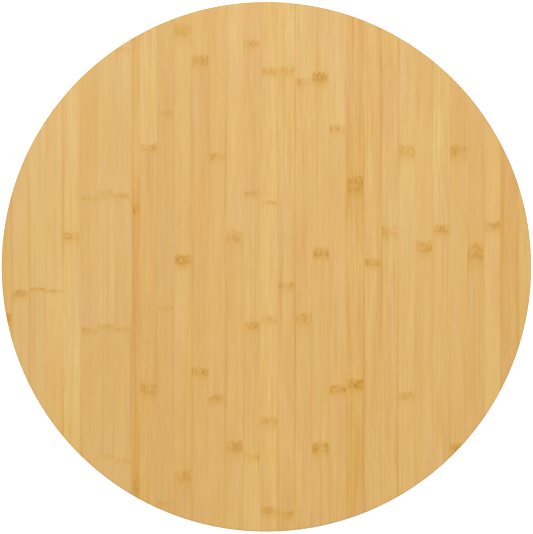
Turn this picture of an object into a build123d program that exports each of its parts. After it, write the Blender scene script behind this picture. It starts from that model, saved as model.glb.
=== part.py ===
from build123d import *
import os
from math import cos, radians, sin

# Lazy susan turntable: a round bamboo board that turns on a ring of steel balls, above a smaller
# round bamboo base that stands on rubber feet.
# Millimetres, +Z up. The origin is where the turning axis meets the table.
# The strips of the board's face run along Y.

# Boards, each pressed from three plies
BOARD_DIAMETER = 600.0
PLY_THICKNESS = 5.0
EDGE_ROUND = 2.0
BASE_INSET = 0.7            # from the inner ring's rim in to the base's edge

# Bearing: two aluminium rings, the outer one standing a little higher
BEARING_DIAMETER = 300.0
RING_GAP = 2.3              # radial, between the two rings
RING_STEP = 1.0             # height of the outer ring above the inner one
RING_LAND = 3.0             # metal on each side of a screw head
RING_WALL = 0.9             # metal below the filler hole
RING_CHAMFER = 0.5

# Balls and the cage that spaces them
BALL_DIAMETER = 4.0
BALL_COUNT = 48
BALL_CLEARANCE = 0.15       # between a ball and its groove
POCKET_CLEARANCE = 0.2      # between a ball and its pocket
CAGE_CLEARANCE = 0.4        # between the cage and each ring
CAGE_WEB = 1.0              # nylon above and below a pocket

# Plug that closes the hole where the balls go in
FILLER_ALLOWANCE = 1.0      # how much wider than a ball the plug is
PLUG_CLEARANCE = 0.1
PLUG_RECESS = 0.3           # from the ring's rim in to the plug's end
PLUG_ANGLE = 45.0           # degrees from +X, midway between two screws
KEY_SIZE = 2.5              # hex socket across its flats
KEY_DEPTH = 2.5

# Wood screws
RING_SCREW_COUNT = 8
SCREW_DIAMETER = 3.5
SCREW_HEAD_DIAMETER = 7.0
SCREW_HEAD_ANGLE = 90.0
SCREW_POINT = 3.0           # length of the tapered point
SCREW_COVER = 2.0           # core ply left uncut past a point
SCREW_CLEARANCE = 0.1
PILOT_SPARE = 0.5           # hole depth past a point
PAN_HEAD_DIAMETER = 6.5
PAN_HEAD_HEIGHT = 1.8
PAN_HEAD_ROUND = 1.0
RECESS_LENGTH = 3.4
RECESS_WIDTH = 0.9
RECESS_DEPTH = 1.2

# Feet
FOOT_COUNT = 6
FOOT_MARGIN = 13.0          # from the base's edge in to a foot's edge
FOOT_WALL = 4.5             # rubber round the well, at the table
FOOT_TAPER = 1.0            # how much a foot's radius grows towards the base
FOOT_WEB = 2.0              # rubber between the washer and the base
FOOT_ROUND = 0.6
HEAD_RECESS = 0.4           # from the table up to a screw head
WASHER_DIAMETER = 8.0
WASHER_THICKNESS = 0.8
WASHER_CLEARANCE = 0.25
WELL_CLEARANCE = 0.5        # between the washer and the well's wall

# Sizes that follow
BOARD_RADIUS = BOARD_DIAMETER / 2
BALL_RADIUS = BALL_DIAMETER / 2
GROOVE_RADIUS = BALL_RADIUS + BALL_CLEARANCE
GROOVE_DEPTH = GROOVE_RADIUS - RING_GAP / 2
POCKET_RADIUS = BALL_RADIUS + POCKET_CLEARANCE
CAGE_THICKNESS = RING_GAP - 2 * CAGE_CLEARANCE
CAGE_HEIGHT = 2 * (POCKET_RADIUS + CAGE_WEB)

PLUG_RADIUS = (BALL_DIAMETER + FILLER_ALLOWANCE) / 2
FILLER_RADIUS = PLUG_RADIUS + PLUG_CLEARANCE

SCREW_RADIUS = SCREW_DIAMETER / 2
HOLE_RADIUS = SCREW_RADIUS + SCREW_CLEARANCE
HEAD_RADIUS = SCREW_HEAD_DIAMETER / 2
COUNTERSINK_RADIUS = HEAD_RADIUS + SCREW_CLEARANCE
SCREW_BITE = 2 * PLY_THICKNESS - SCREW_COVER
PILOT_DEPTH = SCREW_BITE - PLY_THICKNESS + PILOT_SPARE

RING_HEIGHT = 2 * (FILLER_RADIUS + RING_WALL) + RING_STEP
RING_WIDTH = GROOVE_DEPTH + SCREW_HEAD_DIAMETER + 2 * RING_LAND
RING_SCREW_LENGTH = RING_HEIGHT + SCREW_BITE
RING_SCREW_START = 180.0 / RING_SCREW_COUNT

OUTER_RING_RADIUS = BEARING_DIAMETER / 2
OUTER_RING_BORE = OUTER_RING_RADIUS - RING_WIDTH
PITCH_RADIUS = OUTER_RING_BORE - RING_GAP / 2
INNER_RING_RADIUS = OUTER_RING_BORE - RING_GAP
INNER_RING_BORE = INNER_RING_RADIUS - RING_WIDTH
OUTER_SCREW_RADIUS = OUTER_RING_RADIUS - RING_LAND - HEAD_RADIUS
INNER_SCREW_RADIUS = INNER_RING_BORE + RING_LAND + HEAD_RADIUS
BASE_RADIUS = INNER_RING_RADIUS - BASE_INSET

WASHER_RADIUS = WASHER_DIAMETER / 2
WELL_RADIUS = WASHER_RADIUS + WELL_CLEARANCE
WELL_DEPTH = HEAD_RECESS + PAN_HEAD_HEIGHT + WASHER_THICKNESS
FOOT_HEIGHT = WELL_DEPTH + FOOT_WEB
FOOT_BOTTOM_RADIUS = WELL_RADIUS + FOOT_WALL
FOOT_TOP_RADIUS = FOOT_BOTTOM_RADIUS + FOOT_TAPER
FOOT_CIRCLE = BASE_RADIUS - FOOT_MARGIN - FOOT_TOP_RADIUS
FOOT_STEP = 360.0 / FOOT_COUNT
FOOT_SCREW_LENGTH = PAN_HEAD_HEIGHT + WASHER_THICKNESS + FOOT_WEB + SCREW_BITE

# Levels, from the table up
BASE_BOTTOM = FOOT_HEIGHT
BASE_CORE_BOTTOM = BASE_BOTTOM + PLY_THICKNESS
BASE_FACE_BOTTOM = BASE_CORE_BOTTOM + PLY_THICKNESS
BASE_TOP = BASE_FACE_BOTTOM + PLY_THICKNESS
INNER_RING_TOP = BASE_TOP + RING_HEIGHT
OUTER_RING_BOTTOM = BASE_TOP + RING_STEP
BOARD_BOTTOM = OUTER_RING_BOTTOM + RING_HEIGHT
BALL_LEVEL = (BASE_TOP + BOARD_BOTTOM) / 2
BOARD_CORE_BOTTOM = BOARD_BOTTOM + PLY_THICKNESS
BOARD_FACE_BOTTOM = BOARD_CORE_BOTTOM + PLY_THICKNESS

# Radial plane of the filler hole, on the balls' circle
PLUG_OUTWARD = Vector(cos(radians(PLUG_ANGLE)), sin(radians(PLUG_ANGLE)), 0)
FILLER_PLANE = Plane(origin=PLUG_OUTWARD * PITCH_RADIUS + Vector(0, 0, BALL_LEVEL), z_dir=PLUG_OUTWARD)


def facing_down(level):
    """Plane at a level, seen from below."""
    return Plane(origin=(0, 0, level), x_dir=(1, 0, 0), z_dir=(0, 0, -1))


def ply_sheet(radius, bottom):
    """One round ply."""
    with BuildPart() as sheet:
        with BuildSketch(Plane.XY.offset(bottom)):
            Circle(radius)
        extrude(amount=PLY_THICKNESS)
    return sheet.part


def race_ring(bore, bottom):
    """Bearing ring with the ball groove in the wall that faces the other ring."""
    with BuildPart() as ring:
        with BuildSketch(Plane.XZ) as section:
            with Locations((bore, bottom)):
                Rectangle(RING_WIDTH, RING_HEIGHT, align=(Align.MIN, Align.MIN))
            chamfer(section.vertices(), RING_CHAMFER)
            with Locations((PITCH_RADIUS, BALL_LEVEL)):
                Circle(GROOVE_RADIUS, mode=Mode.SUBTRACT)
        revolve(axis=Axis.Z)
    return ring.part


def countersunk_screw(length):
    """Wood screw with its flat head at the origin and its point up."""
    with BuildPart() as screw:
        with BuildSketch(Plane.XZ):
            with BuildLine():
                Polyline(
                    (0, 0),
                    (HEAD_RADIUS, 0),
                    (SCREW_RADIUS, HEAD_RADIUS - SCREW_RADIUS),
                    (SCREW_RADIUS, length - SCREW_POINT),
                    (0, length),
                    close=True,
                )
            make_face()
        revolve(axis=Axis.Z)
        with BuildSketch(Plane.XY):
            Rectangle(RECESS_LENGTH, RECESS_WIDTH)
            Rectangle(RECESS_WIDTH, RECESS_LENGTH)
        extrude(amount=RECESS_DEPTH, mode=Mode.SUBTRACT)
    return screw.part


def pan_head_screw(length):
    """Wood screw with the crown of its round head at the origin and its point up."""
    with BuildPart() as screw:
        with BuildSketch(Plane.XZ):
            with BuildLine():
                Polyline(
                    (0, 0),
                    (PAN_HEAD_DIAMETER / 2, 0),
                    (PAN_HEAD_DIAMETER / 2, PAN_HEAD_HEIGHT),
                    (SCREW_RADIUS, PAN_HEAD_HEIGHT),
                    (SCREW_RADIUS, length - SCREW_POINT),
                    (0, length),
                    close=True,
                )
            make_face()
        revolve(axis=Axis.Z)
        fillet(screw.edges().filter_by(GeomType.CIRCLE).sort_by(Axis.Z)[0], PAN_HEAD_ROUND)
        with BuildSketch(Plane.XY):
            Rectangle(RECESS_LENGTH, RECESS_WIDTH)
            Rectangle(RECESS_WIDTH, RECESS_LENGTH)
        extrude(amount=RECESS_DEPTH, mode=Mode.SUBTRACT)
    return screw.part


# Turning board: face ply on top, with its upper edge eased
with BuildPart() as top_face_ply:
    add(ply_sheet(BOARD_RADIUS, BOARD_FACE_BOTTOM))
    fillet(top_face_ply.edges().group_by(Axis.Z)[-1], EDGE_ROUND)

# Core ply, with blind pilot holes for the outer ring's screws
with BuildPart() as top_core_ply:
    add(ply_sheet(BOARD_RADIUS, BOARD_CORE_BOTTOM))
    with Locations(facing_down(BOARD_CORE_BOTTOM)):
        with PolarLocations(OUTER_SCREW_RADIUS, RING_SCREW_COUNT, RING_SCREW_START):
            Hole(HOLE_RADIUS, PILOT_DEPTH)

# Back ply, with its lower edge eased and the pilot holes right through it
with BuildPart() as top_back_ply:
    add(ply_sheet(BOARD_RADIUS, BOARD_BOTTOM))
    fillet(top_back_ply.edges().group_by(Axis.Z)[0], EDGE_ROUND)
    with Locations(facing_down(BOARD_BOTTOM)):
        with PolarLocations(OUTER_SCREW_RADIUS, RING_SCREW_COUNT, RING_SCREW_START):
            Hole(HOLE_RADIUS)

# Outer ring: screw heads sink into its lower face, and balls go in through the filler hole
with BuildPart() as bearing_outer_ring:
    add(race_ring(OUTER_RING_BORE, OUTER_RING_BOTTOM))
    with Locations(facing_down(OUTER_RING_BOTTOM)):
        with PolarLocations(OUTER_SCREW_RADIUS, RING_SCREW_COUNT, RING_SCREW_START):
            CounterSinkHole(HOLE_RADIUS, COUNTERSINK_RADIUS, counter_sink_angle=SCREW_HEAD_ANGLE)
    with BuildSketch(FILLER_PLANE):
        Circle(FILLER_RADIUS)
    extrude(amount=RING_GAP + RING_WIDTH, mode=Mode.SUBTRACT)

# Plug in the filler hole, from the groove's floor out to just inside the rim
with BuildPart() as ball_filler_plug:
    with BuildSketch(FILLER_PLANE.offset(GROOVE_RADIUS)):
        Circle(PLUG_RADIUS)
    extrude(amount=OUTER_RING_RADIUS - PLUG_RECESS - PITCH_RADIUS - GROOVE_RADIUS)
    with BuildSketch(FILLER_PLANE.offset(OUTER_RING_RADIUS - PLUG_RECESS - PITCH_RADIUS)):
        RegularPolygon(KEY_SIZE / 2, 6, major_radius=False)
    extrude(amount=-KEY_DEPTH, mode=Mode.SUBTRACT)

# Screws up through the outer ring into the board
with BuildPart() as outer_ring_screws:
    with Locations(Plane.XY.offset(OUTER_RING_BOTTOM)):
        with PolarLocations(OUTER_SCREW_RADIUS, RING_SCREW_COUNT, RING_SCREW_START):
            add(countersunk_screw(RING_SCREW_LENGTH))

# Steel balls, evenly spaced between the two grooves
with BuildPart() as bearing_balls:
    with Locations(Plane.XY.offset(BALL_LEVEL)):
        with PolarLocations(PITCH_RADIUS, BALL_COUNT):
            Sphere(BALL_RADIUS)

# Nylon cage: a thin hoop in the gap, with a pocket for each ball
with BuildPart() as ball_cage:
    with BuildSketch(Plane.XY.offset(BALL_LEVEL - CAGE_HEIGHT / 2)):
        Circle(PITCH_RADIUS + CAGE_THICKNESS / 2)
        Circle(PITCH_RADIUS - CAGE_THICKNESS / 2, mode=Mode.SUBTRACT)
    extrude(amount=CAGE_HEIGHT)
    with Locations(Plane.XY.offset(BALL_LEVEL)):
        with PolarLocations(PITCH_RADIUS, BALL_COUNT):
            Cylinder(POCKET_RADIUS, 2 * RING_GAP, rotation=(0, 90, 0), mode=Mode.SUBTRACT)

# Inner ring: screw heads sink into its upper face
with BuildPart() as bearing_inner_ring:
    add(race_ring(INNER_RING_BORE, BASE_TOP))
    with Locations(Plane.XY.offset(INNER_RING_TOP)):
        with PolarLocations(INNER_SCREW_RADIUS, RING_SCREW_COUNT, RING_SCREW_START):
            CounterSinkHole(HOLE_RADIUS, COUNTERSINK_RADIUS, counter_sink_angle=SCREW_HEAD_ANGLE)

# Screws down through the inner ring into the base
with BuildPart() as inner_ring_screws:
    with Locations(facing_down(INNER_RING_TOP)):
        with PolarLocations(INNER_SCREW_RADIUS, RING_SCREW_COUNT, RING_SCREW_START):
            add(countersunk_screw(RING_SCREW_LENGTH))

# Base: face ply with its upper edge eased and the inner ring's pilot holes right through it
with BuildPart() as base_face_ply:
    add(ply_sheet(BASE_RADIUS, BASE_FACE_BOTTOM))
    fillet(base_face_ply.edges().group_by(Axis.Z)[-1], EDGE_ROUND)
    with Locations(Plane.XY.offset(BASE_TOP)):
        with PolarLocations(INNER_SCREW_RADIUS, RING_SCREW_COUNT, RING_SCREW_START):
            Hole(HOLE_RADIUS)

# Core ply, with blind pilot holes from above for the ring and from below for the feet
with BuildPart() as base_core_ply:
    add(ply_sheet(BASE_RADIUS, BASE_CORE_BOTTOM))
    with Locations(Plane.XY.offset(BASE_FACE_BOTTOM)):
        with PolarLocations(INNER_SCREW_RADIUS, RING_SCREW_COUNT, RING_SCREW_START):
            Hole(HOLE_RADIUS, PILOT_DEPTH)
    with Locations(facing_down(BASE_CORE_BOTTOM)):
        with PolarLocations(FOOT_CIRCLE, FOOT_COUNT):
            Hole(HOLE_RADIUS, PILOT_DEPTH)

# Back ply, with its lower edge eased and the feet's pilot holes right through it
with BuildPart() as base_back_ply:
    add(ply_sheet(BASE_RADIUS, BASE_BOTTOM))
    fillet(base_back_ply.edges().group_by(Axis.Z)[0], EDGE_ROUND)
    with Locations(facing_down(BASE_BOTTOM)):
        with PolarLocations(FOOT_CIRCLE, FOOT_COUNT):
            Hole(HOLE_RADIUS)

# Rubber feet: tapered pads, each with a well from below for its washer and screw head
feet = []
for number in range(FOOT_COUNT):
    turn = radians(number * FOOT_STEP)
    foot_centre = Vector(FOOT_CIRCLE * cos(turn), FOOT_CIRCLE * sin(turn), 0)
    with BuildPart(Plane(origin=foot_centre)) as foot:
        Cone(FOOT_BOTTOM_RADIUS, FOOT_TOP_RADIUS, FOOT_HEIGHT, align=(Align.CENTER, Align.CENTER, Align.MIN))
        fillet(foot.edges().group_by(Axis.Z)[0], FOOT_ROUND)
        with Locations(facing_down(0)):
            CounterBoreHole(HOLE_RADIUS, WELL_RADIUS, WELL_DEPTH)
    feet.append(foot.part)

# Washers on the floors of the wells
with BuildPart() as foot_washers:
    with BuildSketch(Plane.XY.offset(HEAD_RECESS + PAN_HEAD_HEIGHT)):
        with PolarLocations(FOOT_CIRCLE, FOOT_COUNT):
            Circle(WASHER_RADIUS)
            Circle(SCREW_RADIUS + WASHER_CLEARANCE, mode=Mode.SUBTRACT)
    extrude(amount=WASHER_THICKNESS)

# Screws up through the feet into the base
with BuildPart() as foot_screws:
    with Locations(Plane.XY.offset(HEAD_RECESS)):
        with PolarLocations(FOOT_CIRCLE, FOOT_COUNT):
            add(pan_head_screw(FOOT_SCREW_LENGTH))

# One file for each piece
pieces = {
    "top_face_ply": top_face_ply.part,
    "top_core_ply": top_core_ply.part,
    "top_back_ply": top_back_ply.part,
    "bearing_outer_ring": bearing_outer_ring.part,
    "ball_filler_plug": ball_filler_plug.part,
    "outer_ring_screws": outer_ring_screws.part,
    "bearing_balls": bearing_balls.part,
    "ball_cage": ball_cage.part,
    "bearing_inner_ring": bearing_inner_ring.part,
    "inner_ring_screws": inner_ring_screws.part,
    "base_face_ply": base_face_ply.part,
    "base_core_ply": base_core_ply.part,
    "base_back_ply": base_back_ply.part,
    "foot_washers": foot_washers.part,
    "foot_screws": foot_screws.part,
}
for number, foot_part in enumerate(feet, start=1):
    pieces[f"foot_{number}"] = foot_part

os.makedirs("parts", exist_ok=True)
for name, piece in pieces.items():
    piece.label = name
    export_step(piece, f"parts/{name}.step")
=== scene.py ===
import math
import random

import bmesh
import bpy
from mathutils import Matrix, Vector


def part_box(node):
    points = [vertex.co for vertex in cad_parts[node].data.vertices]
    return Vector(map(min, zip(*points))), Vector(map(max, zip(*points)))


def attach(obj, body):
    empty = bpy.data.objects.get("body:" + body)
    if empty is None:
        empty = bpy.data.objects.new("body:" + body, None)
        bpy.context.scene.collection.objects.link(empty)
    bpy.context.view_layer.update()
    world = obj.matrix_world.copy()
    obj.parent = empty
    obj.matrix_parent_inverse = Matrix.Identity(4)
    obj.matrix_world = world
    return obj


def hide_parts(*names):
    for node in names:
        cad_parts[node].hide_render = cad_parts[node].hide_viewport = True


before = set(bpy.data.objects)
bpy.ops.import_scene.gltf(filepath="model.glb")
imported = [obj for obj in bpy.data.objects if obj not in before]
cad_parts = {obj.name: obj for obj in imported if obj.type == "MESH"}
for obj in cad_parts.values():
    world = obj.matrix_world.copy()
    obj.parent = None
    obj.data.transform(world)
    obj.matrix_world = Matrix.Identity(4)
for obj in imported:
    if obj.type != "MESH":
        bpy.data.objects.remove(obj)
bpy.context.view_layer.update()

MM = 0.001
X_AXIS = 0
Y_AXIS = 1

# Strips of the board, in millimetres
STRIP_WIDTH = 19.5
NARROW_STRIP = 8.5
FIRST_EDGE = -307.9      # left edge of the leftmost strip, before the panel is cut round

# Tone of a stretch of strip, from palest to darkest
PALEST = 0.18
PALE = 0.27
STRAW = 0.41
HONEY = 0.54
AMBER = 0.66
RUSSET = 0.82

# Tint of a whole strip
ASHY = -1.0
UNTINTED = 0.0
GOLDEN = 1.0

# Darkness of the joint at a strip's left edge
TIGHT = 0.0
NEAT = 0.35
OPEN = 1.0

# Knuckle marks: darkness, and height along the strip in millimetres
FAINT = (0.26, 6.0)
THIN = (0.45, 4.0)
LINE = (0.40, 7.0)
PLAIN = (0.52, 9.0)
SOFT = (0.40, 14.0)
FRINGE = (0.60, 14.0)
CLEAR = (0.66, 10.0)
BOLD = (0.84, 12.0)
TALL = (0.72, 20.0)
SMEAR = (0.70, 24.0)
BLEND = (0.0, 80.0)      # no mark, only a slow change of tone


def strip(*stretches, width=STRIP_WIDTH, tint=UNTINTED, joint=NEAT):
    """One strip, from its near end up: tones, with a (place, mark) knuckle between each two."""
    return {
        "width": width, "tint": tint, "joint": joint,
        "tones": stretches[0::2], "knuckles": stretches[1::2],
    }


# The board's face from left to right. Knuckle places are distances up from the board's middle.
FACE_STRIPS = [
    strip(HONEY, (-58, BOLD), HONEY),
    strip(STRAW, (-30, PLAIN), STRAW, tint=ASHY, joint=OPEN),
    strip(STRAW, (-25, THIN), PALE, tint=ASHY, joint=OPEN),
    strip(PALE, (-27, THIN), PALE),
    strip(PALEST, (35, PLAIN), PALEST, joint=OPEN),
    strip(HONEY, (-219, FAINT), HONEY, (-72, LINE), HONEY, (78, FAINT), HONEY, tint=ASHY, joint=TIGHT),
    strip(STRAW, (-215, FAINT), HONEY, (-67, FAINT), STRAW, (83, PLAIN), STRAW, tint=ASHY, joint=TIGHT),
    strip(
        HONEY, (-219, FAINT), HONEY, (-70, THIN), HONEY, (81, LINE), STRAW, (246, FAINT), STRAW,
        tint=ASHY, joint=TIGHT,
    ),
    strip(
        AMBER, (-247, SMEAR), AMBER, (66, BOLD), RUSSET, (105, BLEND), HONEY,
        width=NARROW_STRIP, tint=GOLDEN, joint=OPEN,
    ),
    strip(HONEY, (-138, SOFT), HONEY, (135, PLAIN), PALE),
    strip(HONEY, (-268, LINE), AMBER, (-47, FAINT), AMBER, (174, FAINT), AMBER, tint=ASHY),
    strip(HONEY, (-237, SOFT), STRAW, (8, BOLD), STRAW, (267, SOFT), HONEY),
    strip(HONEY, (-119, CLEAR), HONEY, (233, BOLD), STRAW),
    strip(STRAW, (-149, PLAIN), STRAW, (125, PLAIN), STRAW),
    strip(STRAW, (-203, FRINGE), STRAW, (35, FRINGE), PALE, joint=OPEN),
    strip(
        PALE, (-216, LINE), STRAW, (-67, PLAIN), STRAW, (82, LINE), HONEY, (252, PLAIN), STRAW,
        joint=TIGHT,
    ),
    strip(
        PALE, (-275, PLAIN), PALEST, (-174, PLAIN), PALEST, (-59, PLAIN), PALEST, (73, THIN), PALE,
        (222, PLAIN), PALE,
        tint=GOLDEN, joint=TIGHT,
    ),
    strip(STRAW, (-280, PLAIN), STRAW, (-21, PLAIN), STRAW, (222, CLEAR), PALE),
    strip(STRAW, (-59, FRINGE), STRAW, (209, PLAIN), PALE, joint=OPEN),
    strip(STRAW, (-204, BOLD), STRAW, (16, BOLD), STRAW, (215, BOLD), STRAW, joint=TIGHT),
    strip(STRAW, (-138, CLEAR), STRAW, (157, PLAIN), PALE),
    strip(HONEY, (-132, BOLD), HONEY, (30, BLEND), AMBER, (94, TALL), HONEY, tint=GOLDEN),
    strip(STRAW, (5, PLAIN), STRAW, joint=OPEN),
    strip(STRAW, (40, SOFT), STRAW, joint=OPEN),
    strip(PALE, (-145, PLAIN), PALE, (131, SOFT), PALE, joint=OPEN),
    strip(STRAW, (22, FRINGE), STRAW),
    strip(STRAW, (43, CLEAR), PALE),
    strip(HONEY, (-204, CLEAR), STRAW, (131, FRINGE), HONEY),
    strip(HONEY, (18, TALL), HONEY, joint=TIGHT),
    strip(PALE, (47, CLEAR), PALE),
    strip(AMBER, (-160, FAINT), AMBER, joint=OPEN),
    strip(STRAW, (120, FAINT), STRAW, joint=OPEN),
]

# Strips drawn at random for the other plies, with lengths in millimetres
BOARD_REACH = 320        # radius that the strips have to cover
BASE_REACH = 150
FIRST_KNUCKLE_WITHIN = 220
KNUCKLE_GAP = (180, 290)
TONE_STEP = 0.08         # largest change of tone at a knuckle
DRAWN_TONES = (PALE, STRAW, STRAW, HONEY, HONEY, AMBER)
DRAWN_MARKS = (FAINT, LINE, PLAIN, FRINGE, BOLD)
DRAWN_JOINTS = (TIGHT, NEAT, NEAT, OPEN)


def plain_strips(seed, reach):
    """Strips for a ply that the photograph doesn't show, and the left edge of the first."""
    draw = random.Random(seed)
    rows = []
    count = 2 * math.ceil(reach / STRIP_WIDTH) + 1
    for _ in range(count):
        place = -reach + draw.uniform(0, FIRST_KNUCKLE_WITHIN)
        stretches = [draw.choice(DRAWN_TONES)]
        while place < reach:
            stretches.append((place, draw.choice(DRAWN_MARKS)))
            tone = stretches[-2] + draw.uniform(-TONE_STEP, TONE_STEP)
            stretches.append(min(max(tone, PALE), AMBER))
            place += draw.uniform(*KNUCKLE_GAP)
        rows.append(strip(*stretches, joint=draw.choice(DRAWN_JOINTS)))
    return rows, -count * STRIP_WIDTH / 2


# Mesh sizes
RIM_POINTS = 384
EASED_EDGE = 2 * MM
EASED_STEPS = 6
RIM_BAND = 1 * MM        # flat band just inside the eased edge, which keeps its shading off the face
SEAM = 0.25 * MM         # groove left by sanding at each glue joint between plies
SEAM_STEPS = 1
ROUND_PROFILE = 0.5
SMOOTH_ANGLE = math.radians(30)
RIM_TOLERANCE = MM / 10
FACE_TOLERANCE = MM / 100
SIDE_CORNERS = 4         # a ply's flat face has more corners than any face on its side


def select_in_edit_mode(piece, elements, wanted):
    """Selects the edges or faces that pass the test, and nothing else."""
    shape = bmesh.from_edit_mesh(piece.data)
    for element in (*shape.verts, *shape.edges, *shape.faces):
        element.select = False
    for element in getattr(shape, elements):
        if wanted(element):
            element.select_set(True)
    bmesh.update_edit_mesh(piece.data)


def round_blank(name, low, high):
    """Plain round slab that fills a node's box."""
    bpy.ops.object.select_all(action="DESELECT")
    bpy.ops.mesh.primitive_cylinder_add(
        vertices=RIM_POINTS,
        radius=(high.x - low.x) / 2,
        depth=high.z - low.z,
        location=(0, 0, (low.z + high.z) / 2),
    )
    blank = bpy.context.object
    blank.name = name
    blank.data.name = name
    bpy.ops.object.transform_apply(location=True)
    return blank


def ease_edge(ply, level, width, steps):
    """Rounds the rim at one face of a ply and puts a narrow flat band inside the round."""
    def on_rim(edge):
        return all(abs(vert.co.z - level) < RIM_TOLERANCE for vert in edge.verts)

    def flat_face(face):
        at_level = abs(face.calc_center_median().z - level) < FACE_TOLERANCE
        return at_level and len(face.verts) > SIDE_CORNERS

    bpy.ops.mesh.select_mode(type="EDGE")
    select_in_edit_mode(ply, "edges", on_rim)
    bpy.ops.mesh.bevel(offset=width, offset_type="OFFSET", segments=steps, profile=ROUND_PROFILE)
    bpy.ops.mesh.select_mode(type="FACE")
    select_in_edit_mode(ply, "faces", flat_face)
    bpy.ops.mesh.inset(thickness=RIM_BAND)


def strip_edges(rows, first_edge):
    """Left edge of each strip, in metres, with the last strip's right edge at the end."""
    edges = [first_edge * MM]
    for row in rows:
        edges.append(edges[-1] + row["width"] * MM)
    return edges


def halfway_places(row):
    """Places, in metres, where the nearest knuckle of a strip changes."""
    places = [place * MM for place, _ in row["knuckles"]]
    return [(below + above) / 2 for below, above in zip(places[:-1], places[1:])]


def cut_along_strips(ply, rows, edges, across, radius):
    """Cuts a ply's faces along the joints between strips, and each strip halfway between its knuckles."""
    joint_normal = Vector((0, 0, 0))
    joint_normal[across] = 1
    strip_direction = Vector((0, 0, 0))
    strip_direction[1 - across] = 1
    for edge in edges:
        if abs(edge) < radius:
            bpy.ops.mesh.select_all(action="SELECT")
            bpy.ops.mesh.bisect(plane_co=joint_normal * edge, plane_no=joint_normal)

    def cut_strip(left, right, place):
        select_in_edit_mode(ply, "faces", lambda face: left < face.calc_center_median()[across] < right)
        bpy.ops.mesh.bisect(plane_co=strip_direction * place, plane_no=strip_direction)

    bpy.ops.mesh.select_mode(type="FACE")
    for row, left, right in zip(rows, edges[:-1], edges[1:]):
        for place in halfway_places(row):
            if abs(place) < radius:
                cut_strip(left, right, place)


def mark_strips(ply, rows, edges, across):
    """Notes on each face which strip it is cut from, its nearest knuckle, the tones there and the joints."""
    along = 1 - across
    draw = random.Random(ply.name)
    seeds = [draw.random() for _ in rows]
    joints = [row["joint"] for row in rows] + [TIGHT]
    notes = {"strip": [], "knuckle": [], "tone": [], "edges": []}
    for face in ply.data.polygons:
        number = 0
        while number < len(rows) - 1 and face.center[across] > edges[number + 1]:
            number += 1
        row = rows[number]
        stretch = sum(face.center[along] > place for place in halfway_places(row))
        place, (darkness, height) = row["knuckles"][stretch]
        tone_below, tone_above = row["tones"][stretch:stretch + 2]
        notes["strip"] += [edges[number], row["width"] * MM, seeds[number]]
        notes["knuckle"] += [place * MM, darkness, height * MM]
        notes["tone"] += [tone_below, tone_above, row["tint"]]
        notes["edges"] += [joints[number], joints[number + 1], abs(face.normal[along])]
    for title, values in notes.items():
        attribute = ply.data.attributes.new(title, "FLOAT_VECTOR", "FACE")
        attribute.data.foreach_set("vector", values)


# Flat layout of a ply's map, as shares of the map's width
MAP_MIDDLE = 0.5
MAP_REACH = 0.495        # half the map, less a thin margin
CORNER_MIDDLE = 0.075    # where the face that is glued over lies, small
CORNER_REACH = 0.07
FLAT_NORMAL = 0.99


def lay_out_map(ply, radius, shown_level):
    """Lays the shown face flat with its rim unrolled round it, and the glued face small in a corner."""
    heights = [vert.co.z for vert in ply.data.vertices]
    thickness = max(heights) - min(heights)
    scale = MAP_REACH / (radius + thickness)
    corner_scale = CORNER_REACH / radius
    layout = ply.data.uv_layers.active
    layout.name = "OFBake"
    for face in ply.data.polygons:
        flat = abs(face.normal.z) > FLAT_NORMAL
        glued = flat and abs(face.center.z - shown_level) > thickness / 2
        for corner in face.loop_indices:
            x, y, z = ply.data.vertices[ply.data.loops[corner].vertex_index].co
            if glued:
                layout.data[corner].uv = (CORNER_MIDDLE + corner_scale * x, CORNER_MIDDLE + corner_scale * y)
            else:
                stretch = scale * (1 + abs(z - shown_level) / math.hypot(x, y))
                layout.data[corner].uv = (MAP_MIDDLE + x * stretch, MAP_MIDDLE + y * stretch)


def glue_up_ply(name, node, body, rows, first_edge, across=X_AXIS, eased=None):
    """Round ply of edge-glued strips, in the place of a plain one. A ply with no eased face is a core."""
    low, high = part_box(node)
    radius = (high.x - low.x) / 2
    shown_level = high.z if eased == "top" else low.z
    edges = strip_edges(rows, first_edge)
    ply = round_blank(name, low, high)
    bpy.ops.object.mode_set(mode="EDIT")
    if eased:
        ease_edge(ply, shown_level, EASED_EDGE, EASED_STEPS)
    else:
        ease_edge(ply, high.z, SEAM, SEAM_STEPS)
        ease_edge(ply, low.z, SEAM, SEAM_STEPS)
    cut_along_strips(ply, rows, edges, across, radius)
    bpy.ops.object.mode_set(mode="OBJECT")
    bpy.ops.object.shade_smooth_by_angle(angle=SMOOTH_ANGLE)
    mark_strips(ply, rows, edges, across)
    lay_out_map(ply, radius, shown_level)
    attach(ply, body)
    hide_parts(node)
    return ply


# Node helpers
def linear(red, green, blue):
    """Linear colour of a colour written as it looks on a screen, from 0 to 255."""
    def channel(value):
        value /= 255
        return value / 12.92 if value <= 0.04045 else ((value + 0.055) / 1.055) ** 2.4

    return (channel(red), channel(green), channel(blue), 1)


def add_node(tree, kind, settings=(), **inputs):
    """New node with its settings, and its inputs given by number, as _0, or by name."""
    node = tree.nodes.new(kind)
    for key, value in dict(settings).items():
        setattr(node, key, value)
    for key, value in inputs.items():
        socket = node.inputs[int(key[1:])] if key[0] == "_" else node.inputs[key.replace("_", " ")]
        if isinstance(value, bpy.types.NodeSocket):
            tree.links.new(value, socket)
        else:
            socket.default_value = value
    return node


def math_node(tree, operation, *values, clamp=False):
    """Result of one sum on numbers or sockets."""
    inputs = {f"_{number}": value for number, value in enumerate(values)}
    return add_node(tree, "ShaderNodeMath", {"operation": operation, "use_clamp": clamp}, **inputs).outputs[0]


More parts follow.
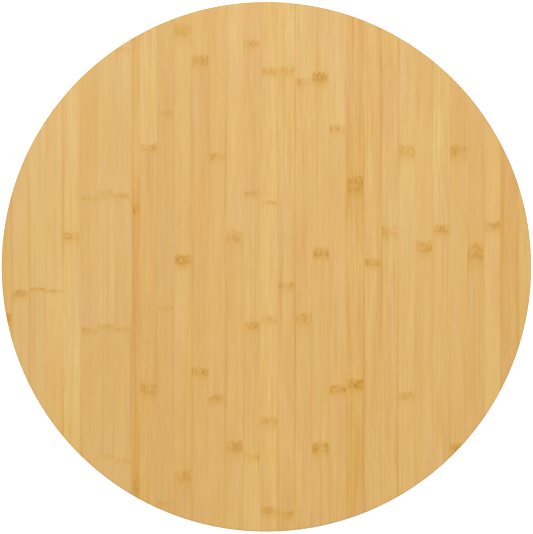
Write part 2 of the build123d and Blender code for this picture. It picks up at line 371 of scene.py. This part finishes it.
def mix_colours(tree, share, first, second):
    """Colour that goes from the first to the second as the share goes from 0 to 1."""
    mix = add_node(tree, "ShaderNodeMix", {"data_type": "RGBA"}, _0=share, _6=first, _7=second)
    return mix.outputs[2]


def ease_between(tree, value, start, end, low=0.0, high=1.0):
    """Smooth step from low at start to high at end."""
    node = add_node(
        tree, "ShaderNodeMapRange", {"interpolation_type": "SMOOTHSTEP"},
        _0=value, _1=start, _2=end, _3=low, _4=high,
    )
    return node.outputs[0]


def hump(tree, value, start, full, fading, gone):
    """Smooth rise from start to full, and fall from fading to gone."""
    rise = ease_between(tree, value, start, full)
    fall = ease_between(tree, value, gone, fading)
    return math_node(tree, "MULTIPLY", rise, fall)


def scaled_place(tree, place, waves):
    """Place measured in waves, given as waves a metre along each axis."""
    return add_node(tree, "ShaderNodeVectorMath", {"operation": "MULTIPLY"}, _0=place, _1=waves).outputs[0]


def stretched_noise(tree, place, waves, detail=1.0):
    """Noise with this many waves a metre along each axis, from 0 to 1."""
    noise = add_node(
        tree, "ShaderNodeTexNoise", {"noise_dimensions": "3D"},
        Vector=scaled_place(tree, place, waves), Scale=1.0, Detail=detail, Roughness=NOISE_ROUGHNESS,
    )
    return noise.outputs[0]


def about_zero(tree, noise):
    """Noise from 0 to 1 moved to lie about zero."""
    return math_node(tree, "SUBTRACT", noise, 0.5)


def new_group(name, inputs, outputs):
    """Empty node group with named sockets, given as (name, kind) pairs."""
    tree = bpy.data.node_groups.new(name, "ShaderNodeTree")
    for in_out, sockets in (("INPUT", inputs), ("OUTPUT", outputs)):
        for title, kind in sockets:
            tree.interface.new_socket(name=title, in_out=in_out, socket_type=f"NodeSocket{kind}")
    return tree, tree.nodes.new("NodeGroupInput").outputs, tree.nodes.new("NodeGroupOutput").inputs


# Bamboo colours, as they look on a screen
BAMBOO_PALEST = linear(230, 190, 116)
BAMBOO_MIDDLE = linear(223, 176, 99)
BAMBOO_DARKEST = linear(215, 160, 76)
KNUCKLE_GOLD = linear(216, 161, 42)
KNUCKLE_BROWN = linear(188, 124, 8)

# Grain of the bamboo, in waves a metre across, along and through a strip
STREAK_WAVES = (330, 10, 330)
BAND_WAVES = (110, 6, 110)
FIBRE_WAVES = (1500, 34, 1500)
CLOUD_WAVES = (80, 26, 80)
DRIFT_WAVES = (35, 5, 35)
DASH_WAVES = (1000, 55, 1000)
THIN_LINE_WAVES = (420, 2.5, 420)
BUNDLE_WAVES = (950, 7, 950)
HUE_WAVES = (150, 8, 150)
VIVID_WAVES = (65, 9, 65)
SEED_SHIFT = (3.7, 11.0, 5.3)      # metres of noise between a strip with seed 0 and one with seed 1
NOISE_ROUGHNESS = 0.55

# Levels of the noise where a pattern begins and where it is full
DASH_LEVELS = (0.6, 0.74)
THIN_LINE_LEVELS = (0.6, 0.72)
BUNDLE_LEVELS = (0.42, 0.18)       # distances from a bundle's middle, so they fall
END_GRAIN_LEVELS = (0.1, 0.8)      # how far a face looks along the strip

# Strength of the grain
ASHY_CALM = 0.55                   # an ashy strip has weaker streaks
STREAKINESS = (0.65, 0.7)          # least, and how much more the streakiest strip has
STREAKINESS_DRAW = 29.0            # multiple of a strip's seed whose fraction is drawn
BUNDLE_DEPTH = (0.08, 0.55)        # along the strip, and how much more where it is cut across
TONE_SHARES = {
    "streaks": 0.5, "bands": 0.42, "drift": 0.2, "clouds": 0.25, "bundles": 1.0,
    "thin_lines": 0.22, "glue_line": 0.5, "dark_edge": 0.3, "end_grain": 0.22,
}
LIGHTNESS_SHARES = {
    "streaks": -0.08, "fibres": -0.22, "dashes": -0.05, "thin_lines": -0.015, "flecks": 0.05,
}
HUE_RANGE = 0.023
NEUTRAL_HUE = 0.5                  # leaves the colour as it is
ASHY_HUE = 0.502                   # a little yellower
VIVID_RANGE = (0.93, 0.14)         # least, and how much more
TINT_VIVID = 0.025
BAMBOO_ROUGHNESS = (0.46, 0.16)    # middle, and how far the fibres change it

# Knuckles, with levels measured up from the knuckle's place in knuckle heights
BOW_HEIGHT = 4 * MM                # between the most and the least bowed knuckle, at the strip's edges
BOW_AT_EDGE = 4.0                  # makes the square of half a strip's width one
SLOPE_WAVES = (130, 2, 130)
SLOPE = 0.5
RAGGED_WAVES = (520, 3, 520)
RAGGEDNESS = 0.35
SIDED_WAVES = (110, 5, 110)
SIDED_LEVELS = (0.35, 0.6)
SIDED_DARKNESS = (0.5, 1.1)
EDGE_FADE = 2 * MM
EDGE_DARKNESS = 0.45
PATCH_LEVELS = (-1.5, -0.2, 0.2, 0.7)      # where it begins, is full, starts to fade and is gone
BAND_LEVELS = (-0.7, -0.2, 0.2, 0.55)
CHANGE_LEVELS = (-0.4, 0.4)        # where the tone below gives way to the tone above
STROKE_WAVES = (720, 190, 720)
STROKE_LEVELS = (0.38, 0.6)
STROKE_DARKNESS = (0.05, 0.8)      # between the strokes, and how much more in them
RIDGE_LEVEL = 0.3                  # below the knuckle's place
RIDGE_REACH = (0.2, 0.06)          # distances from the ridge where it begins and is full
RIDGE_DRAW = 7.0
RIDGE_LEVELS = (0.4, 0.9)          # draws that give no ridge and a full one
RIDGE_DARKNESS = 0.7
PATCH_SHARE = 0.85
STROKE_RELIEF = -0.4
FIBRE_RELIEF = 0.6

# Joints between strips
GLUE_LINE_REACH = (0.9 * MM, 0.3 * MM)
GLUE_BREAK_WAVES = (5, 9, 5)
GLUE_BREAK_LEVELS = (0.36, 0.6)
GLUE_BREAK_DARKNESS = 0.25         # where the line is faintest
DARK_EDGE_REACH = (4 * MM, 0.4 * MM)
DARK_EDGE_LEVELS = (0.42, 0.66)
STAIN = (0.25, 0.75)               # at a tight joint, and how much more at an open one


def face_note(tree, title):
    """The three numbers noted on each face under a title."""
    note = add_node(tree, "ShaderNodeAttribute", {"attribute_name": title})
    return add_node(tree, "ShaderNodeSeparateXYZ", _0=note.outputs["Vector"]).outputs


def strip_place(tree, grain, seed):
    """Place in the noise, so that each strip has its own stretch of it."""
    parts = add_node(tree, "ShaderNodeSeparateXYZ", _0=grain).outputs
    x, y, z = [math_node(tree, "MULTIPLY_ADD", seed, shift, part) for shift, part in zip(SEED_SHIFT, parts)]
    return add_node(tree, "ShaderNodeCombineXYZ", X=x, Y=y, Z=z).outputs[0]


def strip_draw(tree, seed, multiple):
    """Another number from 0 to 1 for each strip, taken from its seed."""
    return math_node(tree, "FRACT", math_node(tree, "MULTIPLY", seed, multiple))


def fibre_bundles(tree, place, end_grain):
    """Fine lines along the strip, and dots where it is cut across."""
    cells = add_node(
        tree, "ShaderNodeTexVoronoi", {"voronoi_dimensions": "3D"},
        Vector=scaled_place(tree, place, BUNDLE_WAVES), Scale=1.0,
    )
    bundles = ease_between(tree, cells.outputs["Distance"], *BUNDLE_LEVELS)
    lengthwise, crosswise = BUNDLE_DEPTH
    depth = math_node(tree, "MULTIPLY_ADD", end_grain, crosswise, lengthwise)
    return math_node(tree, "MULTIPLY", bundles, depth)


def grain_patterns(tree, place, seed, tint, end_grain, drift):
    """Patterns of the plain grain, by name."""
    calm = ease_between(tree, tint, ASHY, UNTINTED, ASHY_CALM, 1.0)
    least, more = STREAKINESS
    streakiness = math_node(tree, "MULTIPLY_ADD", strip_draw(tree, seed, STREAKINESS_DRAW), more, least)
    streakiness = math_node(tree, "MULTIPLY", streakiness, calm)
    streaks = about_zero(tree, stretched_noise(tree, place, STREAK_WAVES, detail=3.0))
    fibres = about_zero(tree, stretched_noise(tree, place, FIBRE_WAVES, detail=2.0))
    hues = about_zero(tree, stretched_noise(tree, place, HUE_WAVES))
    bands = about_zero(tree, stretched_noise(tree, place, BAND_WAVES, detail=2.0))
    end_grain = ease_between(tree, end_grain, *END_GRAIN_LEVELS)
    return {
        "streaks": math_node(tree, "MULTIPLY", streaks, streakiness),
        "fibres": math_node(tree, "MULTIPLY", fibres, streakiness),
        "hues": math_node(tree, "MULTIPLY", hues, streakiness),
        "bands": math_node(tree, "MULTIPLY", bands, calm),
        "clouds": about_zero(tree, stretched_noise(tree, place, CLOUD_WAVES, detail=2.0)),
        "drift": about_zero(tree, drift),
        "dashes": ease_between(tree, stretched_noise(tree, place, DASH_WAVES), *DASH_LEVELS),
        "thin_lines": ease_between(tree, stretched_noise(tree, place, THIN_LINE_WAVES), *THIN_LINE_LEVELS),
        "bundles": fibre_bundles(tree, place, end_grain),
        "end_grain": end_grain,
    }


def knuckle_level(tree, place, rise, height, off_middle, seed):
    """Level above the knuckle in knuckle heights, from a line that bows, slopes and is ragged."""
    bow = math_node(tree, "MULTIPLY", math_node(tree, "MULTIPLY", off_middle, off_middle), BOW_AT_EDGE)
    bow_height = math_node(tree, "MULTIPLY", about_zero(tree, seed), BOW_HEIGHT)
    level = math_node(tree, "DIVIDE", math_node(tree, "MULTIPLY_ADD", bow, bow_height, rise), height)
    for waves, amount in ((SLOPE_WAVES, SLOPE), (RAGGED_WAVES, RAGGEDNESS)):
        unevenness = about_zero(tree, stretched_noise(tree, place, waves))
        level = math_node(tree, "MULTIPLY_ADD", unevenness, amount, level)
    return level


def knuckle_marks(tree, place, level, darkness, to_edge, seed):
    """Golden patch that fades out below the knuckle, the dark strokes in its band, and pale flecks there."""
    sided = stretched_noise(tree, place, SIDED_WAVES)
    sided = ease_between(tree, sided, *SIDED_LEVELS, *SIDED_DARKNESS)
    at_edge = ease_between(tree, to_edge, 0.0, EDGE_FADE, EDGE_DARKNESS, 1.0)
    darkness = math_node(tree, "MULTIPLY", math_node(tree, "MULTIPLY", darkness, sided), at_edge)

    band = hump(tree, level, *BAND_LEVELS)
    strokes = ease_between(tree, stretched_noise(tree, place, STROKE_WAVES), *STROKE_LEVELS)
    between, more = STROKE_DARKNESS
    stroked = math_node(tree, "MULTIPLY", band, math_node(tree, "MULTIPLY_ADD", strokes, more, between))

    ridge_distance = math_node(tree, "ABSOLUTE", math_node(tree, "ADD", level, RIDGE_LEVEL))
    ridge = ease_between(tree, ridge_distance, *RIDGE_REACH)
    ridge_strength = strip_draw(tree, seed, RIDGE_DRAW)
    ridge_strength = ease_between(tree, ridge_strength, *RIDGE_LEVELS, 0.0, RIDGE_DARKNESS)
    stroked = math_node(tree, "MAXIMUM", stroked, math_node(tree, "MULTIPLY", ridge, ridge_strength))

    patch = math_node(tree, "MULTIPLY", hump(tree, level, *PATCH_LEVELS), darkness, clamp=True)
    stroked = math_node(tree, "MULTIPLY", stroked, darkness, clamp=True)
    flecks = math_node(tree, "MULTIPLY", band, math_node(tree, "SUBTRACT", 1.0, strokes))
    return patch, stroked, flecks


def joint_marks(tree, grain, to_edge, joint, drift):
    """Broken glue line at a strip's edge, and the darker edge that some strips have."""
    tight, more = STAIN
    stained = math_node(tree, "MULTIPLY_ADD", joint, more, tight)
    breaks = stretched_noise(tree, grain, GLUE_BREAK_WAVES)
    broken = ease_between(tree, breaks, *GLUE_BREAK_LEVELS, GLUE_BREAK_DARKNESS, 1.0)
    glue = math_node(tree, "MULTIPLY", joint, broken)
    glue_line = math_node(tree, "MULTIPLY", ease_between(tree, to_edge, *GLUE_LINE_REACH), glue)
    edge_strength = math_node(tree, "MULTIPLY", ease_between(tree, drift, *DARK_EDGE_LEVELS), stained)
    dark_edge = math_node(tree, "MULTIPLY", ease_between(tree, to_edge, *DARK_EDGE_REACH), edge_strength)
    return glue_line, dark_edge


def clear_bamboo_colour(tree, place, tone, tint, patterns):
    """Colour of the bamboo between its knuckles."""
    for title, share in TONE_SHARES.items():
        tone = math_node(tree, "MULTIPLY_ADD", patterns[title], share, tone)
    ramp = add_node(tree, "ShaderNodeValToRGB", Fac=tone)
    stops = ramp.color_ramp.elements
    stops[0].color = BAMBOO_PALEST
    stops[1].color = BAMBOO_DARKEST
    stops.new(0.5).color = BAMBOO_MIDDLE

    # Fine streaks change the lightness more than the colour, and broader ones turn it pinker or yellower
    lightness = 1.0
    for title, share in LIGHTNESS_SHARES.items():
        lightness = math_node(tree, "MULTIPLY_ADD", patterns[title], share, lightness)
    middle_hue = ease_between(tree, tint, ASHY, UNTINTED, ASHY_HUE, NEUTRAL_HUE)
    least, more = VIVID_RANGE
    vividness = math_node(tree, "MULTIPLY_ADD", stretched_noise(tree, place, VIVID_WAVES), more, least)
    tinted = add_node(
        tree, "ShaderNodeHueSaturation",
        Hue=math_node(tree, "MULTIPLY_ADD", patterns["hues"], HUE_RANGE, middle_hue),
        Saturation=math_node(tree, "MULTIPLY_ADD", tint, TINT_VIVID, vividness),
        Value=lightness,
        Color=ramp.outputs[0],
    )
    return tinted.outputs[0]


def bamboo_group():
    """Grain, strip joints and knuckles. Grain is a place in metres with Y along the strips."""
    tree, given, result = new_group(
        "bamboo",
        [("Grain", "Vector")],
        [("Color", "Color"), ("Roughness", "Float"), ("Height", "Float")],
    )
    left, width, seed = face_note(tree, "strip")
    knuckle_place, darkness, height = face_note(tree, "knuckle")
    tone_below, tone_above, tint = face_note(tree, "tone")
    left_joint, right_joint, end_grain = face_note(tree, "edges")
    across, along, _ = add_node(tree, "ShaderNodeSeparateXYZ", _0=given["Grain"]).outputs
    place = strip_place(tree, given["Grain"], seed)

    # Where a point lies on its strip
    share = math_node(tree, "DIVIDE", math_node(tree, "SUBTRACT", across, left), width)
    off_middle = math_node(tree, "SUBTRACT", share, 0.5)
    to_edge = math_node(tree, "SUBTRACT", 0.5, math_node(tree, "ABSOLUTE", off_middle))
    to_edge = math_node(tree, "MULTIPLY", to_edge, width)
    on_right = math_node(tree, "GREATER_THAN", off_middle, 0.0)
    joint = math_node(tree, "SUBTRACT", right_joint, left_joint)
    joint = math_node(tree, "MULTIPLY_ADD", joint, on_right, left_joint)
    rise = math_node(tree, "SUBTRACT", along, knuckle_place)
    level = knuckle_level(tree, place, rise, height, off_middle, seed)

    drift = stretched_noise(tree, place, DRIFT_WAVES)
    patterns = grain_patterns(tree, place, seed, tint, end_grain, drift)
    patch, stroked, patterns["flecks"] = knuckle_marks(tree, place, level, darkness, to_edge, seed)
    patterns["glue_line"], patterns["dark_edge"] = joint_marks(tree, given["Grain"], to_edge, joint, drift)

    change = ease_between(tree, level, *CHANGE_LEVELS)
    tone = math_node(tree, "SUBTRACT", tone_above, tone_below)
    tone = math_node(tree, "MULTIPLY_ADD", tone, change, tone_below)
    colour = clear_bamboo_colour(tree, place, tone, tint, patterns)
    colour = mix_colours(tree, math_node(tree, "MULTIPLY", patch, PATCH_SHARE), colour, KNUCKLE_GOLD)
    colour = mix_colours(tree, stroked, colour, KNUCKLE_BROWN)

    middle, change_by_fibres = BAMBOO_ROUGHNESS
    rough = math_node(tree, "MULTIPLY_ADD", patterns["fibres"], change_by_fibres, middle)
    relief = math_node(tree, "MULTIPLY_ADD", patterns["fibres"], FIBRE_RELIEF, patterns["streaks"])
    relief = math_node(tree, "MULTIPLY_ADD", stroked, STROKE_RELIEF, relief)
    tree.links.new(colour, result["Color"])
    tree.links.new(rough, result["Roughness"])
    tree.links.new(relief, result["Height"])
    return tree


def new_material(name):
    """Empty material, with its nodes and its surface shader."""
    material = bpy.data.materials.new(name)
    material.use_nodes = True
    tree = material.node_tree
    return material, tree, tree.nodes["Principled BSDF"]


def join_to_surface(tree, surface, colour, roughness, bump):
    """Links a finish to its surface shader."""
    tree.links.new(colour, surface.inputs["Base Color"])
    tree.links.new(roughness, surface.inputs["Roughness"])
    tree.links.new(bump.outputs[0], surface.inputs["Normal"])


# Shine and relief of the finishes
BAMBOO_SHINE = 0.4
BAMBOO_BUMP = 0.12
BAMBOO_RELIEF = 0.2 * MM
HARDWARE_BUMP = 0.3
LATHE_RELIEF = 0.03 * MM


def bamboo_material(name, group, crosswise=False):
    """Oiled bamboo, with its strips along Y, or along X where they lie crosswise."""
    material, tree, surface = new_material(name)
    place = add_node(tree, "ShaderNodeTexCoord").outputs["Object"]
    if crosswise:
        x, y, z = add_node(tree, "ShaderNodeSeparateXYZ", _0=place).outputs
        place = add_node(tree, "ShaderNodeCombineXYZ", X=y, Y=x, Z=z).outputs[0]
    bamboo = add_node(tree, "ShaderNodeGroup", {"node_tree": group}, Grain=place).outputs
    bump = add_node(
        tree, "ShaderNodeBump", Strength=BAMBOO_BUMP, Distance=BAMBOO_RELIEF, Height=bamboo["Height"]
    )
    join_to_surface(tree, surface, bamboo["Color"], bamboo["Roughness"], bump)
    surface.inputs["Specular IOR Level"].default_value = BAMBOO_SHINE
    return material


# Colours of the hardware, as they look on a screen
ALUMINIUM_PALE = linear(206, 208, 210)
ALUMINIUM_DARK = linear(182, 184, 187)
STEEL_PALE = linear(208, 209, 211)
STEEL_DARK = linear(190, 191, 194)
ZINC_PALE = linear(200, 201, 200)
ZINC_DARK = linear(168, 168, 162)
NYLON_PALE = linear(228, 225, 214)
NYLON_DARK = linear(212, 207, 192)
RUBBER_PALE = linear(50, 50, 51)
RUBBER_DARK = linear(32, 32, 33)

# Marks on the hardware, in waves a metre
HANDLING_WAVES = (90, 90, 90)
SPECK_WAVES = (2600, 2600, 2600)
LATHE_WAVES = (2400, 1, 2400)      # out from the axis, not used, and along the axis
SHIFT_LEVELS = (0.3, 0.7)          # levels of the marks that are quite pale and quite dark
SPECK_SHARE = 0.6
ALUMINIUM_ROUGHNESS = 0.34
LATHE_GLOSS_RANGE = 0.25
HANDLING_GLOSS_RANGE = 0.2


def surface_marks_group():
    """Cloudy handling marks and fine specks, for the metal, nylon and rubber pieces."""
    tree, given, result = new_group(
        "surface_marks", [("Place", "Vector")], [("Clouds", "Float"), ("Specks", "Float")]
    )
    clouds = stretched_noise(tree, given["Place"], HANDLING_WAVES, detail=3.0)
    specks = stretched_noise(tree, given["Place"], SPECK_WAVES, detail=2.0)
    tree.links.new(clouds, result["Clouds"])
    tree.links.new(specks, result["Specks"])
    return tree


def plain_material(name, marks, pale, dark, metal, rough, rough_range, relief):
    """Finish of one colour that shifts between pale and dark, with its gloss broken up by the marks."""
    material, tree, surface = new_material(name)
    place = add_node(tree, "ShaderNodeTexCoord").outputs["Object"]
    clouds, specks = add_node(tree, "ShaderNodeGroup", {"node_tree": marks}, Place=place).outputs
    mottle = math_node(tree, "MULTIPLY_ADD", about_zero(tree, specks), SPECK_SHARE, clouds)
    colour = mix_colours(tree, ease_between(tree, mottle, *SHIFT_LEVELS), pale, dark)
    gloss = math_node(tree, "MULTIPLY_ADD", about_zero(tree, mottle), rough_range, rough)
    bump = add_node(tree, "ShaderNodeBump", Strength=HARDWARE_BUMP, Distance=relief, Height=specks)
    join_to_surface(tree, surface, colour, gloss, bump)
    surface.inputs["Metallic"].default_value = metal
    return material


def turned_material(name, marks):
    """Satin aluminium with the fine rings that a lathe tool leaves round the bearing's axis."""
    material, tree, surface = new_material(name)
    place = add_node(tree, "ShaderNodeTexCoord").outputs["Object"]
    clouds, _ = add_node(tree, "ShaderNodeGroup", {"node_tree": marks}, Place=place).outputs
    x, y, z = add_node(tree, "ShaderNodeSeparateXYZ", _0=place).outputs
    flat = add_node(tree, "ShaderNodeCombineXYZ", X=x, Y=y).outputs[0]
    radius = add_node(tree, "ShaderNodeVectorMath", {"operation": "LENGTH"}, _0=flat).outputs["Value"]
    section = add_node(tree, "ShaderNodeCombineXYZ", X=radius, Z=z).outputs[0]
    rings = stretched_noise(tree, section, LATHE_WAVES, detail=2.0)
    colour = mix_colours(tree, ease_between(tree, rings, *SHIFT_LEVELS), ALUMINIUM_PALE, ALUMINIUM_DARK)
    gloss = math_node(tree, "MULTIPLY_ADD", about_zero(tree, rings), LATHE_GLOSS_RANGE, ALUMINIUM_ROUGHNESS)
    gloss = math_node(tree, "MULTIPLY_ADD", about_zero(tree, clouds), HANDLING_GLOSS_RANGE, gloss)
    bump = add_node(tree, "ShaderNodeBump", Strength=HARDWARE_BUMP, Distance=LATHE_RELIEF, Height=rings)
    join_to_surface(tree, surface, colour, gloss, bump)
    surface.inputs["Metallic"].default_value = 1.0
    return material


# Floor, light and camera, in metres
FLOOR_SIZE = 12
FLOOR_PAINT = (0.9, 0.9, 0.9, 1)
FLOOR_GLOW = 0.72
WORLD_LEVEL = 0.6
SOFTBOX_PLACE = (0, 1.2, 3.6)
SOFTBOX_TILT = math.radians(-18)
SOFTBOX_SIZE = 2.4
SOFTBOX_POWER = 60
BOARD_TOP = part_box("top_face_ply")[1]
BOARD_WIDTH = 2 * BOARD_TOP.x
BOARD_WIDTH_PIXELS = 530.3
PICTURE_HEIGHT = 534               # pixels
SENSOR = 36.0                      # millimetres
CAMERA_DISTANCE = 3.0              # above the board's face
CAMERA_ASIDE = (0.1 * MM, -0.3 * MM)
FARTHEST_SEEN = 100


def pale_floor():
    """White floor that keeps the board's shadow, and can be seen through from below."""
    bpy.ops.object.select_all(action="DESELECT")
    bpy.ops.mesh.primitive_plane_add(size=FLOOR_SIZE)
    floor = bpy.context.object
    floor.name = "floor"
    material, tree, surface = new_material("pale_floor")
    tree.nodes.remove(surface)
    rays = add_node(tree, "ShaderNodeLightPath").outputs
    seen = math_node(tree, "MAXIMUM", rays["Is Camera Ray"], rays["Is Glossy Ray"])
    seen = math_node(tree, "MAXIMUM", seen, rays["Is Transmission Ray"])
    glow_strength = math_node(tree, "MULTIPLY", seen, FLOOR_GLOW)
    paint = add_node(tree, "ShaderNodeBsdfDiffuse", Color=FLOOR_PAINT).outputs[0]
    glow = add_node(tree, "ShaderNodeEmission", Strength=glow_strength).outputs[0]
    lit = add_node(tree, "ShaderNodeAddShader", _0=paint, _1=glow).outputs[0]
    clear = add_node(tree, "ShaderNodeBsdfTransparent").outputs[0]
    from_below = add_node(tree, "ShaderNodeNewGeometry").outputs["Backfacing"]
    two_sided = add_node(tree, "ShaderNodeMixShader", _0=from_below, _1=lit, _2=clear).outputs[0]
    tree.links.new(two_sided, tree.nodes["Material Output"].inputs["Surface"])
    floor.data.materials.append(material)


def studio_world():
    """Even white light from all round, seen as plain white."""
    world = bpy.data.worlds.new("studio")
    bpy.context.scene.world = world
    world.use_nodes = True
    tree = world.node_tree
    background = tree.nodes["Background"].inputs
    rays = add_node(tree, "ShaderNodeLightPath").outputs
    seen = math_node(tree, "MAXIMUM", rays["Is Camera Ray"], rays["Is Transmission Ray"])
    level = math_node(tree, "MULTIPLY_ADD", seen, 1 - WORLD_LEVEL, WORLD_LEVEL)
    tree.links.new(level, background["Strength"])
    background["Color"].default_value = (1, 1, 1, 1)


def softbox():
    """Large round light above the board's far side."""
    bpy.ops.object.light_add(type="AREA", location=SOFTBOX_PLACE, rotation=(SOFTBOX_TILT, 0, 0))
    light = bpy.context.object.data
    light.shape = "DISK"
    light.size = SOFTBOX_SIZE
    light.energy = SOFTBOX_POWER


def photo_camera():
    """Camera straight above the board, which it shows at the photograph's width."""
    place = (*CAMERA_ASIDE, BOARD_TOP.z + CAMERA_DISTANCE)
    bpy.ops.object.camera_add(location=place, rotation=(0, 0, 0))
    camera = bpy.context.object
    camera.data.sensor_width = SENSOR
    camera.data.lens = SENSOR * BOARD_WIDTH_PIXELS / PICTURE_HEIGHT * CAMERA_DISTANCE / BOARD_WIDTH
    camera.data.clip_end = FARTHEST_SEEN
    bpy.context.scene.camera = camera
    bpy.context.scene.view_settings.view_transform = "Standard"


# Boards
BAMBOO = bamboo_group()
bamboo_lengthwise = bamboo_material("bamboo_lengthwise", BAMBOO)
bamboo_crosswise = bamboo_material("bamboo_crosswise", BAMBOO, crosswise=True)
board_back_rows = plain_strips("board_back", BOARD_REACH)
board_core_rows = plain_strips("board_core", BOARD_REACH)
base_face_rows = plain_strips("base_face", BASE_REACH)
base_core_rows = plain_strips("base_core", BASE_REACH)
base_back_rows = plain_strips("base_back", BASE_REACH)
face_plies = [
    glue_up_ply("top_face_strips", "top_face_ply", "turning_board", FACE_STRIPS, FIRST_EDGE, eased="top"),
    glue_up_ply("top_back_strips", "top_back_ply", "turning_board", *board_back_rows, eased="bottom"),
    glue_up_ply("base_face_strips", "base_face_ply", "base", *base_face_rows, eased="top"),
    glue_up_ply("base_back_strips", "base_back_ply", "base", *base_back_rows, eased="bottom"),
]
core_plies = [
    glue_up_ply("top_core_strips", "top_core_ply", "turning_board", *board_core_rows, across=Y_AXIS),
    glue_up_ply("base_core_strips", "base_core_ply", "base", *base_core_rows, across=Y_AXIS),
]
for ply in face_plies:
    ply.data.materials.append(bamboo_lengthwise)
for ply in core_plies:
    ply.data.materials.append(bamboo_crosswise)

# Hardware
MARKS = surface_marks_group()
turned_aluminium = turned_material("turned_aluminium", MARKS)
polished_steel = plain_material(
    "polished_steel", MARKS, STEEL_PALE, STEEL_DARK,
    metal=1.0, rough=0.14, rough_range=0.1, relief=0.002 * MM,
)
zinc_plate = plain_material(
    "zinc_plate", MARKS, ZINC_PALE, ZINC_DARK,
    metal=1.0, rough=0.34, rough_range=0.3, relief=0.02 * MM,
)
white_nylon = plain_material(
    "white_nylon", MARKS, NYLON_PALE, NYLON_DARK,
    metal=0.0, rough=0.46, rough_range=0.2, relief=0.03 * MM,
)
black_rubber = plain_material(
    "black_rubber", MARKS, RUBBER_PALE, RUBBER_DARK,
    metal=0.0, rough=0.72, rough_range=0.25, relief=0.06 * MM,
)
FOOT_COUNT = 6
FINISHES = {
    "bearing_outer_ring": turned_aluminium,
    "bearing_inner_ring": turned_aluminium,
    "bearing_balls": polished_steel,
    "ball_cage": white_nylon,
    "ball_filler_plug": zinc_plate,
    "outer_ring_screws": zinc_plate,
    "inner_ring_screws": zinc_plate,
    "foot_washers": zinc_plate,
    "foot_screws": zinc_plate,
}
for number in range(1, FOOT_COUNT + 1):
    FINISHES[f"foot_{number}"] = black_rubber
for node, finish in FINISHES.items():
    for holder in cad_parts[node].material_slots:
        holder.material = finish

# Floor, light and camera
pale_floor()
studio_world()
softbox()
photo_camera()
